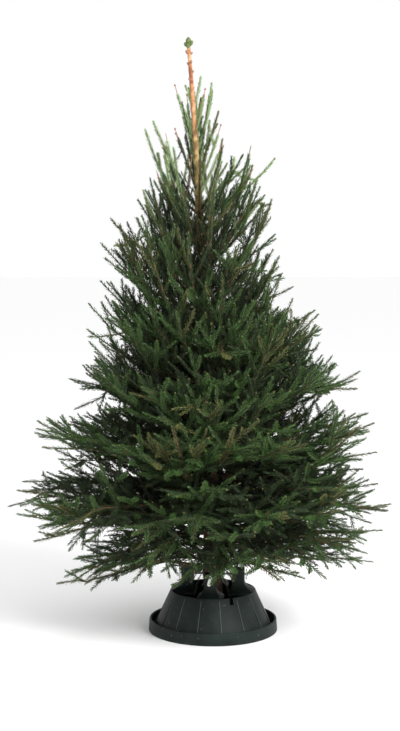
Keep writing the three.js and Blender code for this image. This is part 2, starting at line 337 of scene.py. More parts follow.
def branch(axis, bare):
    """Side shoots on an axis, from the end of its bare stretch to its last year's growth."""
    side = chance.choice([-1.0, 1.0])
    spacing = SPACING[axis.order] * float(np.interp(axis.share, SPARSE_SHARES, SPARSE))
    distance = bare + chance.uniform(0, spacing)
    climb = climb_at(axis.share)
    while distance < axis.length - LAST_YEAR[axis.order]:
        heading = axis.heading(distance)
        level = unit(np.cross(heading, UP))
        rise = unit(np.cross(level, heading))
        spread = math.radians(chance.uniform(*SPREAD))
        roll = math.radians(chance.normal(6 + 20 * climb, 26))
        outward = level * side * math.cos(roll) + rise * math.sin(roll)
        direction = heading * math.cos(spread) + outward * math.sin(spread) + UP * 0.22 * climb
        length = REACH_SHARE[axis.order] * (axis.length - distance) * chance.uniform(0.6, 1.2) + 0.05
        length = min(length, LONGEST[axis.order] * chance.uniform(0.75, 1.1))
        overshoot = chance.choice(OVERSHOOTS) * min(1.0, 0.5 + climb)
        spray = chance.normal() if axis.order == 0 else axis.spray
        if length > SHORTEST:
            start = axis.at(distance)
            shoot = grow(start, direction, length, axis.order + 1, axis.share, spray, overshoot)
            if shoot and shoot.order < 3 and shoot.length > SHORTEST_FORKED:
                branch(shoot, 0.02)
        side = -side
        distance += spacing * chance.uniform(0.75, 1.25)


# %% [markdown]
# ## The limbs
#
# Each foliage solid is a wedge of the crown. Several limbs run out through it at different levels,
# which is how the strong boughs of a whorl and the weaker ones beside them share the space. A
# vertical ray through the solid finds its floor and its roof at each distance from the trunk, and a
# limb keeps its own level between the two.

# %% The line of a limb
def level_in(mass, x, y, share):
    """The height at a share of the way from the solid's floor to its roof, or None outside it."""
    floor = mass.ray_cast(Vector((x, y, cad_low.z - 0.1)), Vector((0, 0, 1)))[0]
    roof = mass.ray_cast(Vector((x, y, cad_high.z + 0.1)), Vector((0, 0, -1)))[0]
    return None if floor is None else floor.z + (roof.z - floor.z) * share


def limb_line(name, turn_share, level_share):
    """The points of a limb through one foliage solid, from the trunk to the solid's end."""
    points = node_points(name)
    middle = trunk_at(points[:, 2].mean())
    away = points[:, :2] - middle[:2]
    main = math.atan2(away[:, 1].mean(), away[:, 0].mean())
    widest = turned(np.arctan2(away[:, 1], away[:, 0]) - main).max()
    outward = toward(main + turn_share * widest)[:2]
    furthest = np.linalg.norm(away, axis=1).max()
    line = []
    for distance in np.linspace(trunk_radius(middle[2]) + 0.006, furthest, 16):
        x, y = middle[:2] + outward * distance
        height = level_in(masses[name], x, y, level_share)
        if height is not None:
            line.append([x, y, height])
        elif line:
            break
    return np.array(line)


# %% Limbs from the trunk to the tips
THREE_LIMBS = [(0.0, 0.55), (-0.62, 0.3), (0.62, 0.75)]
FOUR_LIMBS = [(-0.2, 0.65), (0.3, 0.2), (-0.7, 0.4), (0.75, 0.8)]
BROAD_FROM = 9
limbs = []


def add_limb(line, share, overshoot):
    """Roots a line in the trunk, lets its tip grow on past the solid, and gives it side shoots."""
    climb = climb_at(share)
    drop = (0.25 + 0.5 * climb) * np.linalg.norm(line[0, :2] - trunk_at(line[0, 2])[:2])
    root = trunk_at(line[0, 2] - drop)
    tip = list(line)
    heading = unit(line[-1] - line[-3])
    for _ in range(chance.integers(5, 14)):
        heading = unit(heading + UP * 0.05 * climb)
        point = tip[-1] + heading * STEP
        if not has_room(point, overshoot):
            break
        tip.append(point)
    limb = Axis(np.vstack([root, tip]), 0, share, chance.normal())
    limbs.append(limb)
    axes.append(limb)
    branch(limb, max(0.03, 0.08 * limb.length))


for name in (n for n in foliage_names if whorl_of(n) > SPIRE):
    low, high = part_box(name)
    share = (low.z + high.z) / 2 / cad_high.z
    climb = climb_at(share)
    for turn_share, level_share in (FOUR_LIMBS if whorl_of(name) >= BROAD_FROM else THREE_LIMBS):
        jitter = chance.uniform(-0.08, 0.08, 2)
        line = limb_line(name, turn_share + jitter[0], level_share + jitter[1])
        if len(line) < 3:
            continue
        # No two boughs of a whorl rise alike, so the outer end is lifted or lowered a little.
        lift = chance.uniform(-0.05, 0.14) * climb
        line[:, 2] += lift * np.linspace(0, 1, len(line)) ** 1.6
        add_limb(line, share, chance.uniform(-0.01, 0.05) + 0.05 * climb)

print(len(limbs), "limbs,", len(axes), "axes,", round(sum(a.length for a in axes)), "m of wood")

# %% [markdown]
# Between the whorls, single boughs and many weak shoots stand straight on the trunk. The boughs
# break up the steps between the whorls, and the shoots hide the trunk.

# %% Single boughs and weak shoots between the whorls
SINGLE_BOUGHS = 66
WEAK_SHOOTS = 80


def up_the_trunk(count, power, low, high):
    """Yields the height, its share of the tree's height and the direction of each of count roots."""
    for number in range(count):
        height = np.interp(((number + 0.5) / count) ** power, [0, 1], [low, high])
        yield height, height / cad_high.z, number * GOLDEN + chance.uniform(-0.3, 0.3)


for height, share, turn in up_the_trunk(SINGLE_BOUGHS, 1.5, foliage_low + 0.16, spire_low - 0.12):
    direction = toward(turn, 0.10 + 0.75 * climb_at(share))
    reach = np.interp(share, [0.2, 0.4, 0.85], [0.74, 0.60, 0.18]) * chance.uniform(0.8, 1.15)
    bough = grow(trunk_at(height), direction, reach, 0, share, chance.normal(), 0.03)
    if bough:
        limbs.append(bough)
        branch(bough, max(0.05, 0.15 * bough.length))

for height, share, turn in up_the_trunk(WEAK_SHOOTS, 1.35, foliage_low + 0.05, spire_low):
    direction = unit(toward(turn, 0.15 + 0.9 * climb_at(share)))
    length = np.interp(share, [0.2, 0.6, 0.95], [0.34, 0.26, 0.09]) * chance.uniform(0.6, 1.15)
    start = trunk_at(height) + direction * trunk_radius(height) * 0.9
    shoot = grow(start, direction, length, 1, share, chance.normal(), 0.08)
    if shoot:
        branch(shoot, 0.03)

print(len(axes), "axes with those")

# %% [markdown]
# The spire is the growth of the last two years. Thin shoots stand almost upright round the leader,
# with hardly a side shoot on them, and the sky shows between them.

# %% Upright shoots of the spire
SPIRE_SHOOTS = {1: 14, 2: 13}


def upright(height, turn, steepness, length, order):
    """One straight shoot from the leader, with no side shoots."""
    direction = toward(turn, math.tan(math.radians(steepness)))
    return grow(trunk_at(height), direction, length, order, height / cad_high.z, chance.normal(), 0.03)


for whorl, count in SPIRE_SHOOTS.items():
    for number in range(count):
        height = lowest(in_whorl[whorl]) + 0.03 + chance.uniform(-0.03, 0.03)
        turn = number * 2 * math.pi / count + chance.uniform(-0.3, 0.3) + whorl
        length = (highest(in_whorl[whorl]) - height) * chance.uniform(0.75, 1.15)
        shoot = upright(height, turn, chance.uniform(57, 74), length, 1)
        if shoot and shoot.length > 0.15:
            branch(shoot, 0.05)

LEADER_SHOOTS = 18
for number in range(LEADER_SHOOTS):
    height = np.interp(number / LEADER_SHOOTS, [0, 1], [spire_low + 0.10, crown_top - 0.10])
    upright(height, number * GOLDEN, chance.uniform(58, 74), chance.uniform(0.06, 0.14), 2)

# %% Short shoots that hang round the butt, under the lowest boughs
HANGING, DROOP = 9, 0.16
for number in range(HANGING):
    turn = number * 2 * math.pi / HANGING - math.pi / 2
    height = foliage_low + chance.uniform(0.06, 0.11)
    points = [trunk_at(height)]
    heading = unit(toward(turn, -0.15))
    for _ in range(int(chance.uniform(9, 14))):
        heading = unit(heading - UP * DROOP)
        points.append(points[-1] + heading * STEP)
    axes.append(Axis(points, 2, height / cad_high.z, chance.normal()))

print(len(axes), "axes in all")

# %% [markdown]
# ## Colours of the growth
#
# Needles, twigs and buds are too many and too thin to carry a pattern. So each kind has a few plain
# colours, and each spray gets one of them: deep green inside the crown, which is painted shade, fresh
# green at its outside, which is young growth and also painted light, and pale on the young spire.

# %% Plain colours dealt out by spray
class Look:
    """A material in the making. Each pattern is a node in its tree, and feeds the next one."""

    def __init__(self, name, specular=0.25):
        self.material = bpy.data.materials.new(name)
        self.material.use_nodes = True
        self.nodes = self.material.node_tree.nodes
        self.link = self.material.node_tree.links.new
        self.inputs = self.nodes["Principled BSDF"].inputs
        self.inputs["Specular IOR Level"].default_value = specular

    def place(self):
        """Object coordinates. They stay put, because every object sits at the origin."""
        return self.nodes.new("ShaderNodeTexCoord").outputs["Object"]

    def fed(self, kind, source, socket, **values):
        """A new node of a kind, with its inputs set and a source linked to one of them."""
        node = self.nodes.new("ShaderNode" + kind)
        for key, value in values.items():
            node.inputs[key.replace("_", " ")].default_value = value
        self.link(source, node.inputs[socket])
        return node

    def noise(self, scale, detail=2):
        return self.fed("TexNoise", self.place(), "Vector", Scale=scale, Detail=detail).outputs["Fac"]

    def ramp(self, source, stops):
        """The colours that (position, colour) stops give to a source."""
        node = self.fed("ValToRGB", source, "Fac")
        elements = node.color_ramp.elements
        for element, (position, color) in zip(elements, (stops[0], stops[-1])):
            element.position = position
            element.color = (*color, 1)
        for position, color in stops[1:-1]:
            elements.new(position).color = (*color, 1)
        return node.outputs["Color"]

    def mix(self, share, under, over=None, plain_over=(0, 0, 0)):
        """A source with another one, or a plain colour, laid over it by a share from 0 to 1."""
        node = self.nodes.new("ShaderNodeMix")
        node.data_type = "RGBA"
        node.inputs["B"].default_value = (*plain_over, 1)
        for source, socket in ((share, "Factor"), (under, "A"), (over, "B")):
            if source:
                self.link(source, node.inputs[socket])
        return node.outputs["Result"]

    def color(self, source):
        self.link(source, self.inputs["Base Color"])

    def rough(self, source, low, high):
        span = self.fed("MapRange", source, "Value", To_Min=low, To_Max=high)
        self.link(span.outputs["Result"], self.inputs["Roughness"])

    def bump(self, source, strength, distance):
        node = self.fed("Bump", source, "Height", Strength=strength, Distance=distance)
        self.link(node.outputs["Normal"], self.inputs["Normal"])


def plain(name, color, roughness):
    look = Look(name)
    look.inputs["Base Color"].default_value = (*color, 1)
    look.inputs["Roughness"].default_value = roughness
    return look.material


# The needle greens run from dark inside the crown to light at its outside. The deep tone is painted
# shade, and the fresh tone is young growth and also painted light. Golden is a tint of some outer
# sprays, and pale is the young spire's own colour.
needle_tones = [
    plain("needle_deep_painted_shade", (0.019, 0.024, 0.015), 0.6),
    plain("needle_mid", (0.027, 0.047, 0.018), 0.55),
    plain("needle_fresh_painted_light", (0.05, 0.102, 0.027), 0.5),
    plain("needle_golden", (0.098, 0.108, 0.036), 0.5),
    plain("needle_pale", (0.22, 0.32, 0.14), 0.5),
]
GOLDEN_SPRAYS = -0.85
PALE_SHARES, PALE_CHANCES = [0.62, 0.70, 0.80], [0.0, 0.35, 0.75]
# How far out a spray ends decides whether it gets painted shade or painted light.
OUTER, MIDDLE = 0.82, 0.60
DEEP_PAINTED_SHADE, MID, FRESH_PAINTED_LIGHT, GOLDEN_GREEN, PALE = range(5)
twig_tones = [
    plain("twig_olive", (0.034, 0.040, 0.016), 0.8),
    plain("twig_young", (0.15, 0.145, 0.065), 0.75),
    plain("twig_tan", (0.33, 0.17, 0.11), 0.75),
]
bud_tones = [
    plain("bud_tan", (0.17, 0.14, 0.05), 0.6),
    plain("bud_rose", (0.30, 0.13, 0.095), 0.6),
]


def needle_tone(axis):
    """Deep green inside the crown as painted shade, fresh or golden at its outside as young growth and
    painted light, pale on the spire.
    """
    if chance.uniform() < np.interp(axis.share, PALE_SHARES, PALE_CHANCES):
        return PALE
    out = outwardness(axis.points[-1]) + 0.07 * axis.spray + 0.06 * chance.normal()
    if out > OUTER:
        return GOLDEN_GREEN if axis.spray < GOLDEN_SPRAYS else FRESH_PAINTED_LIGHT
    return MID if out > MIDDLE else DEEP_PAINTED_SHADE


for axis in axes:
    axis.tone = needle_tone(axis)

# %% [markdown]
# ## Meshes from arrays
#
# More than 400,000 needles can't be made one operator call at a time. Their corners are worked out
# as arrays instead, joined, and handed to the mesh in one go. A piece is closed off before it
# reaches 200,000 triangles.

# %% Building a mesh from arrays
MOST = 190_000


def piece_from_arrays(name, points, triangles, slots, materials):
    mesh = bpy.data.meshes.new(name)
    mesh.vertices.add(len(points))
    mesh.vertices.foreach_set("co", points.astype(np.float32).ravel())
    mesh.loops.add(3 * len(triangles))
    mesh.loops.foreach_set("vertex_index", triangles.astype(np.int32).ravel())
    mesh.polygons.add(len(triangles))
    mesh.polygons.foreach_set("loop_start", np.arange(0, 3 * len(triangles), 3, dtype=np.int32))
    for material in materials:
        mesh.materials.append(material)
    mesh.polygons.foreach_set("material_index", slots.astype(np.int32))
    mesh.update(calc_edges=True)
    piece = placed(name, mesh)
    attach(piece, "root")
    return piece


def gather(kind, made, materials):
    """Joins many small shapes, each (points, triangles, slot), into pieces of under MOST triangles."""
    batches = [[]]
    size = 0
    for item in made:
        if size + len(item[1]) > MOST:
            batches.append([])
            size = 0
        batches[-1].append(item)
        size += len(item[1])
    pieces = []
    for number, batch in enumerate(batches, 1):
        offsets = np.cumsum([0] + [len(p) for p, _, _ in batch])
        points = np.vstack([p for p, _, _ in batch])
        triangles = np.vstack([t + o for (_, t, _), o in zip(batch, offsets)])
        slots = np.concatenate([np.full(len(t), s) for _, t, s in batch])
        pieces.append(piece_from_arrays(f"{kind}_{number}", points, triangles, slots, materials))
        print(kind, number, "has", len(triangles), "triangles")
    return pieces


# %% [markdown]
# Twigs are thin tubes. Limbs are tubes too, with more sides, and noise pushes their rings in and out
# so that the bark has a relief. A tube is open at both ends: its foot is buried in the wood that it
# grew from, and the needles close over its tip.

# %% Twig and limb tubes
SIDES = {0: 7, 1: 4, 2: 3, 3: 3}
RING_SPACING = {0: 0.016, 1: 0.045, 2: 0.045, 3: 0.045}
FOOT_RADIUS = {0: 0.0085, 1: 0.0028, 2: 0.0020, 3: 0.0017}
TIP_RADIUS = 0.0013
LONG_LIMB = 0.55
LIMB_LUMPS = 0.16


def square_to(heading):
    """Two directions square to a heading and to each other, the first of them level."""
    level = unit(np.cross(heading, UP) + 1e-6)
    return level, np.cross(level, heading)


def wood_radius(axis, where):
    """The radius of an axis at distances along it."""
    foot = FOOT_RADIUS[axis.order] * (min(1.0, axis.length / LONG_LIMB) if axis.order == 0 else 1)
    return foot + (TIP_RADIUS - foot) * (where / axis.length) ** 0.7


def tube(axis):
    """Rings of points along an axis, and the triangles between them."""
    sides = SIDES[axis.order]
    count = max(2, int(axis.length / RING_SPACING[axis.order]) + 1)
    where = np.linspace(0, axis.length, count)
    radii = wood_radius(axis, where)
    points = []
    for distance, radius in zip(where, radii):
        level, rise = square_to(axis.heading(distance))
        angles = np.arange(sides) * 2 * math.pi / sides
        circle = np.outer(np.cos(angles), level) + np.outer(np.sin(angles), rise)
        if axis.order == 0:
            spots = [Vector(axis.at(distance) * 60 + c * 1.5) for c in circle]
            lumps = [1 + LIMB_LUMPS * noise.noise(spot) for spot in spots]
            circle *= np.array(lumps)[:, None]
        points.append(axis.at(distance) + circle * radius)
    ring = np.arange(sides)
    triangles = []
    for row in range(count - 1):
        a = row * sides + ring
        b = row * sides + (ring + 1) % sides
        triangles.append(np.stack([a, a + sides, b], 1))
        triangles.append(np.stack([b, a + sides, b + sides], 1))
    return np.vstack(points), np.vstack(triangles)


BARE_TIP, BARE_FROM = 0.035, 0.72


def bare_tip(axis):
    """The length at the tip of some of the spire's shoots that carries no needles."""
    return min(BARE_TIP, 0.4 * axis.length) if axis.share > BARE_FROM and axis.spray > 0.5 else 0.0


def twig_tone(axis):
    return 2 if bare_tip(axis) else 1 if axis.tone == PALE else 0


for piece in gather("twigs", [(*tube(a), twig_tone(a)) for a in axes if a.order > 0], twig_tones):
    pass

# %% [markdown]
# Needles stand all round a spruce shoot, closest on its upper side, and lean forward, more so at the
# tip. Each is a sliver of two triangles, folded along its spine. At this count a rounder needle would
# only slow the model down. They are about twice as broad as real ones, because they are fewer.

# %% Needles
NEEDLES = 430_000
HELD_ON_LIMB = 0.30
HELD_ON_SHOOT = 0.24
NEEDLE_HALF_WIDTH = 0.0017
SHORT_NEEDLE, LONG_NEEDLE = 0.0125, 0.0165
TIP_STRETCH = 0.03
TIP_LEAN, SIDE_LEAN = 22, 40


def density(axis):
    """Fewer needles deep in the crown than out in the light, and most on the young spire."""
    return 0.5 if axis.tone == DEEP_PAINTED_SHADE else float(np.interp(axis.share, [0.6, 0.75], [1.0, 1.6]))


def needled_stretch(axis):
    """The outer stretch of an axis that still holds its needles."""
    return min(axis.length - bare_tip(axis), HELD_ON_LIMB if axis.order == 0 else HELD_ON_SHOOT)


spacing = sum(needled_stretch(a) * density(a) for a in axes) / NEEDLES
print("one needle each", round(spacing * 1000, 2), "mm")


def needles_on(axis):
    """Corners and triangles of all the needles on one axis."""
    held = needled_stretch(axis)
    count = int(held / spacing * density(axis))
    where = axis.length - bare_tip(axis) - held + (np.arange(count) + 0.5) * held / max(1, count)
    heading = axis.at(where + STEP) - axis.at(where - STEP)
    heading /= np.linalg.norm(heading, axis=1)[:, None] + 1e-9
    level = np.cross(heading, UP)
    level /= np.linalg.norm(level, axis=1)[:, None] + 1e-9
    rise = np.cross(level, heading)
    angle = np.arange(count) * GOLDEN + chance.uniform(-0.4, 0.4, count)
    outward = level * np.cos(angle)[:, None] + rise * (np.sin(angle) * 0.85 + 0.15)[:, None]
    outward /= np.linalg.norm(outward, axis=1)[:, None]
    from_tip = (axis.length - where) / TIP_STRETCH
    tight = np.interp(axis.share, [0.55, 0.75], [1.0, 0.72])
    lean = np.interp(from_tip, [0, 1], [TIP_LEAN, SIDE_LEAN]) * tight
    lean = np.radians(lean + chance.normal(0, 6, count))
    along = heading * np.cos(lean)[:, None] + outward * np.sin(lean)[:, None]
    across = np.cross(along, outward)
    across /= np.linalg.norm(across, axis=1)[:, None] + 1e-9
    long = chance.uniform(SHORT_NEEDLE, LONG_NEEDLE, count) * np.interp(from_tip, [0, 1], [0.75, 1.0])
    foot = axis.at(where) + outward * (wood_radius(axis, where) * 0.8)[:, None]
    waist = foot + along * (long * 0.55)[:, None] - outward * 0.0003
    points = np.empty((count, 4, 3))
    points[:, 0] = foot
    points[:, 1] = waist - across * NEEDLE_HALF_WIDTH
    points[:, 2] = foot + along * long[:, None]
    points[:, 3] = waist + across * NEEDLE_HALF_WIDTH
    start = np.arange(count)[:, None] * 4
    triangles = np.hstack([start, start + 2, start + 1, start, start + 3, start + 2])
    return points.reshape(-1, 3), triangles.reshape(-1, 3)


needles = gather("needles", [(*needles_on(a), a.tone) for a in axes], needle_tones)
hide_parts(*foliage_names)

# %% Buds at the tips
BUD_SHARE = 0.3
SPIRE_BUD, CROWN_BUD = (0.0100, 0.0040), (0.0080, 0.0027)


def bud(axis):
    """A small pointed bud: a ring of four points between two poles."""
    tip = axis.points[-1]
    heading = axis.heading(axis.length)
    level, rise = square_to(heading)
    long, wide = SPIRE_BUD if axis.share > BARE_FROM else CROWN_BUD
    waist = tip + heading * long * 0.35
    middle = [waist + level * wide, waist + rise * wide, waist - level * wide, waist - rise * wide]
    points = np.array([tip, *middle, tip + heading * long])
    ring = [(1, 2), (2, 3), (3, 4), (4, 1)]
    triangles = [[0, b, a] for a, b in ring] + [[5, a, b] for a, b in ring]
    return points, np.array(triangles)


budded = [a for a in axes if chance.uniform() < BUD_SHARE or a.share > 0.74]
buds = gather("buds", [(*bud(a), 1 if bare_tip(a) else 0) for a in budded], bud_tones)

# %% [markdown]
# ## Bark
#
# Young spruce bark is thin. On the lower trunk it is grey-brown and breaks into small scales. The
# leader is this year's wood, smooth and orange-tan. A noise texture deals the colours, a Voronoi
# texture draws the scales, and the height above the floor turns old bark into young.

# %% The bark material
OLD_BARK = [(0.35, (0.022, 0.018, 0.014)), (0.50, (0.058, 0.042, 0.028)), (0.70, (0.19, 0.095, 0.045))]
GREEN_BARK = [(0.38, (0.045, 0.040, 0.018)), (0.50, (0.23, 0.16, 0.06)), (0.62, (0.42, 0.30, 0.13))]
YOUNG_BARK = [(0.35, (0.22, 0.08, 0.04)), (0.52, (0.44, 0.21, 0.10)), (0.70, (0.60, 0.37, 0.21))]


def bark_material(name, green_span, young_span):
    """Bark that turns green-brown, then young and orange, over two spans of height."""
    look = Look(name)
    patches = look.noise(45, detail=8)
    height = look.fed("SeparateXYZ", look.place(), "Vector").outputs["Z"]
    color = look.ramp(patches, OLD_BARK)
    for (start, end), stops in ((green_span, GREEN_BARK), (young_span, YOUNG_BARK)):
        age = look.fed("MapRange", height, "Value", From_Min=start, From_Max=end).outputs["Result"]
        color = look.mix(age, color, look.ramp(patches, stops))
    look.color(color)
    stretch = look.fed("Mapping", look.place(), "Vector", Scale=(1, 1, 0.45)).outputs["Vector"]
    scales = look.fed("TexVoronoi", stretch, "Vector", Scale=110)
    scales.feature = "DISTANCE_TO_EDGE"
    look.bump(scales.outputs["Distance"], strength=0.5, distance=0.0015)
    look.rough(patches, 0.75, 0.95)
    return look.material


bark = bark_material("spruce_bark", (1.15, 1.45), (1.62, 1.80))
limb_bark = bark_material("limb_bark", (1.50, 2.20), (2.10, 2.60))

# %% Limbs in bark
limb_pieces = gather("limbs", [(*tube(limb), 0) for limb in limbs], [limb_bark])
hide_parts(*bough_names)

# %% Short names for moves that several shapes share
def swing(shape, angle, axis):
    """Turns a whole bmesh about an axis through the origin."""
    matrix = Matrix.Rotation(angle, 3, axis)
    bmesh.ops.rotate(shape, verts=shape.verts, cent=(0, 0, 0), matrix=matrix)


def shift(shape, x=0, z=0):
    bmesh.ops.translate(shape, verts=shape.verts, vec=(x, 0, z))


def extruded(shape, faces, vec=(0, 0, 0)):
    """Extrudes faces, moves the new side by a vector, and returns its vertices."""
    grown = bmesh.ops.extrude_face_region(shape, geom=faces)["geom"]
    made = [g for g in grown if isinstance(g, bmesh.types.BMVert)]
    bmesh.ops.translate(shape, verts=made, vec=vec)
    return made


def face_outwards(shape):
    bmesh.ops.recalc_face_normals(shape, faces=shape.faces)


def bevelled(shape, edges, offset, segments=3):
    bmesh.ops.bevel(shape, geom=edges, offset=offset, affect="EDGES", segments=segments, profile=0.5,
                    material=-1)


def joined(target, part, turn=0.0):
    """Copies one bmesh into another, turned about the upright axis, and frees the copy."""
    swing(part, turn, "Z")
    carrier = mesh_from("carrier", part)
    target.from_mesh(carrier)
    bpy.data.meshes.remove(carrier)


# %% [markdown]
# The trunk starts as a flat grid, rolled up round the trunk's own middle line. Its rows are close
# together, so noise can lift scales about a millimetre high, and each whorl gets the slight swelling
# that its boughs leave. The grid's two long edges are then merged, and both ends are closed.

# %% Roll a grid into the trunk
AROUND = 32
UPWARDS = 420
SWELLING = 0.0022
BUD_END = 0.022
bark_top = trunk_top - BUD_END
whorl_roots = [lowest(in_whorl[whorl]) for whorl in whorls]


def bark_relief(point, height):
    """How far the bark stands out at a point: scales, and the swelling of the whorls."""
    age = np.interp(height, [0.0, 1.2, 1.8], [1.0, 0.75, 0.45])
    scales = noise.fractal(Vector((point[0] * 70, point[1] * 70, height * 35)), 0.8, 2.1, 4)
    nearest = min(abs(height - root - 0.03) for root in whorl_roots)
    swelling = SWELLING * math.exp(-((nearest / 0.014) ** 2))
    return 0.0013 * age * scales + swelling * trunk_radius(height) / 0.02


def show(name, shape, materials, smooth_below=35):
    """Turns a bmesh into a piece that rides on the tree, with smooth faces and crisp corners."""
    mesh = mesh_from(name, shape)
    for material in materials:
        mesh.materials.append(material)
    mesh.polygons.foreach_set("use_smooth", [True] * len(mesh.polygons))
    mesh.set_sharp_from_angle(angle=math.radians(smooth_below))
    piece = placed(name, mesh)
    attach(piece, "root")
    print(name, "has", len(mesh.polygons), "faces")
    return piece


def rolled_trunk():
    shape = bmesh.new()
    bmesh.ops.create_grid(shape, x_segments=AROUND, y_segments=UPWARDS, size=1)
    for vertex in shape.verts:
        turn = (vertex.co.x + 1) * math.pi
        height = trunk_foot + (bark_top - trunk_foot) * (vertex.co.y + 1) / 2
        outward = toward(turn)
        surface = trunk_at(height) + outward * trunk_radius(height)
        vertex.co = surface + outward * bark_relief(surface, height)
    bmesh.ops.remove_doubles(shape, verts=shape.verts, dist=1e-5)
    bmesh.ops.holes_fill(shape, edges=shape.edges, sides=0)
    face_outwards(shape)
    return shape


trunk_piece = show("trunk_bark", rolled_trunk(), [bark], smooth_below=60)
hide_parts("trunk")

# %% [markdown]
# At the very top sits the cluster of next year's buds: one in the middle and smaller ones round it,
# egg-shaped and scaly. A few more sit singly further down. An icosphere drawn out along its axis has
# the shape, and rows of small steps round it stand for the scales.

# %% The leader's buds
def bud_material(name, stops):
    """Bud scales in mottled colours."""
    look = Look(name)
    look.inputs["Roughness"].default_value = 0.55
    look.color(look.ramp(look.noise(400), stops))
    return look.material


def bud_egg(shape, base, heading, long, wide, slot=0):
    """Adds one egg-shaped bud to a bmesh, standing on base and pointing along heading."""
    made = bmesh.ops.create_icosphere(shape, subdivisions=4, radius=1)["verts"]
    for face in {f for v in made for f in v.link_faces}:
        face.material_index = slot
    turn = Vector(heading).to_track_quat("Z", "Y").to_matrix()
    for vertex in made:
        height = (vertex.co.z + 1) / 2
        angle = math.atan2(vertex.co.y, vertex.co.x)
        scale_step = 0.06 * ((height * 6 + angle / 2.2) % 1.0)
        narrowing = 1 - 0.35 * height - scale_step
        local = Vector((vertex.co.x * wide * narrowing, vertex.co.y * wide * narrowing, height * long))
        vertex.co = turn @ local + Vector(base)


# Each side bud: how far under the top it sits, its direction in degrees, its length and half width.
SIDE_BUDS = [
    (0.006, -30, 0.020, 0.0090), (0.009, 65, 0.017, 0.0080), (0.010, 160, 0.019, 0.0085),
    (0.014, -105, 0.018, 0.0085), (0.034, -160, 0.015, 0.0068), (0.037, 10, 0.013, 0.0055),
    (0.041, 100, 0.013, 0.0055), (0.066, -60, 0.013, 0.0060), (0.071, 170, 0.012, 0.0050),
    (0.098, 8, 0.012, 0.0052), (0.122, -165, 0.011, 0.0048), (0.150, 30, 0.010, 0.0044),
    (0.190, -20, 0.010, 0.0042), (0.232, -170, 0.010, 0.0040),
]


def leader_cluster():
    shape = bmesh.new()
    top = trunk_at(bark_top)
    bud_egg(shape, top - UP * 0.002, (0, 0, 1), BUD_END + 0.001, 0.0112)
    for below, turn, long, wide in SIDE_BUDS:
        outward = toward(math.radians(turn))
        base = trunk_at(bark_top - below) + outward * 0.002
        bud_egg(shape, base, outward + UP * 0.9, long, wide, slot=1 if below > 0.02 else 0)
    return shape


bud_green = bud_material("bud_green", [
    (0.40, (0.05, 0.085, 0.022)), (0.55, (0.13, 0.20, 0.065)), (0.70, (0.30, 0.20, 0.09)),
])
bud_red = bud_material("bud_red", [
    (0.40, (0.11, 0.11, 0.035)), (0.52, (0.33, 0.13, 0.095)), (0.70, (0.50, 0.26, 0.20)),
])
leader_buds = show("leader_buds", leader_cluster(), [bud_green, bud_red], smooth_below=70)

# %% [markdown]
# ## The stand
#
# The stand is one plastic moulding: a round foot with an upturned rim, a cone that holds the water,
# thin ribs down the cone, and four posts that carry the screws. The shell is a profile spun round the
# upright axis. A profile with sharp corners would look cut from card, so each corner is first
# replaced by a small arc.

# %% The shell's profile
stand_low, stand_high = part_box("stand")
RIM = (stand_high.x - stand_low.x) / 2
RIM_TOP, RIM_HEIGHT, RIM_WALL = RIM - 0.003, 0.042, 0.006
GUTTER = 0.014
CONE_FOOT, CONE_STEP = 0.201, 0.008
COLLAR, COLLAR_HEIGHT = 0.148, 0.142
WALL, FLOOR = 0.0045, 0.008


def rounded(points, radius, steps=4):
    """A polyline whose inner corners are replaced by small curves."""
    made = [points[0]]
    for before, corner, after in zip(points, points[1:], points[2:]):
        before, corner, after = Vector(before), Vector(corner), Vector(after)
        back = min(radius, (before - corner).length * 0.45)
        ahead = min(radius, (after - corner).length * 0.45)
        start = corner + (before - corner).normalized() * back
        end = corner + (after - corner).normalized() * ahead
        for step in range(steps + 1):
            t = step / steps
            made.append(tuple(start * (1 - t) ** 2 + corner * 2 * t * (1 - t) + end * t * t))
    return made + [points[-1]]


shell_outline = rounded([
    (0, 0),
    (RIM, 0),
    (RIM_TOP, RIM_HEIGHT),
    (RIM_TOP - RIM_WALL, RIM_HEIGHT),
    (RIM_TOP - RIM_WALL, GUTTER),
    (CONE_FOOT, GUTTER),
    (CONE_FOOT, GUTTER + CONE_STEP),
    (COLLAR, COLLAR_HEIGHT - 0.004),
    (COLLAR - 0.002, COLLAR_HEIGHT),
    (COLLAR - WALL - 0.001, COLLAR_HEIGHT),
    (CONE_FOOT - WALL - 0.004, FLOOR),
    (0, FLOOR),
], 0.003)

# %% Spin the shell
SPIN_STEPS = 120


def spun(outline, steps):
    """A closed solid of revolution round the upright axis."""
    shape = bmesh.new()
    line = [shape.verts.new((r, 0, z)) for r, z in outline]
    edges = [shape.edges.new(pair) for pair in zip(line, line[1:])]
    bmesh.ops.spin(shape, geom=line + edges, axis=(0, 0, 1), cent=(0, 0, 0), angle=2 * math.pi,
                   steps=steps, use_merge=True)
    bmesh.ops.remove_doubles(shape, verts=shape.verts, dist=1e-5)
    face_outwards(shape)
    return shape


# %% [markdown]
# A rib is a flat fin, from just under the collar down the cone and across the gutter. Its outline
# becomes a face, the face is extruded to the rib's thickness, and the edges are bevelled. The narrow
# outer face gets a paler plastic.

# %% Ribs
RIBS = 15
RIB_TURN = math.radians(-82)
RIB_WIDTH, RIB_HEIGHT = 0.0024, 0.0022
rib_outline = [
    (RIM_TOP - RIM_WALL + 0.001, GUTTER - 0.002),
    (RIM_TOP - RIM_WALL + 0.001, RIM_HEIGHT - 0.012),
    (CONE_FOOT + RIB_HEIGHT, GUTTER + 0.009),
    (COLLAR + RIB_HEIGHT, COLLAR_HEIGHT - 0.008),
    (COLLAR - 0.002, COLLAR_HEIGHT - 0.006),
    (CONE_FOOT - 0.002, GUTTER - 0.002),
]


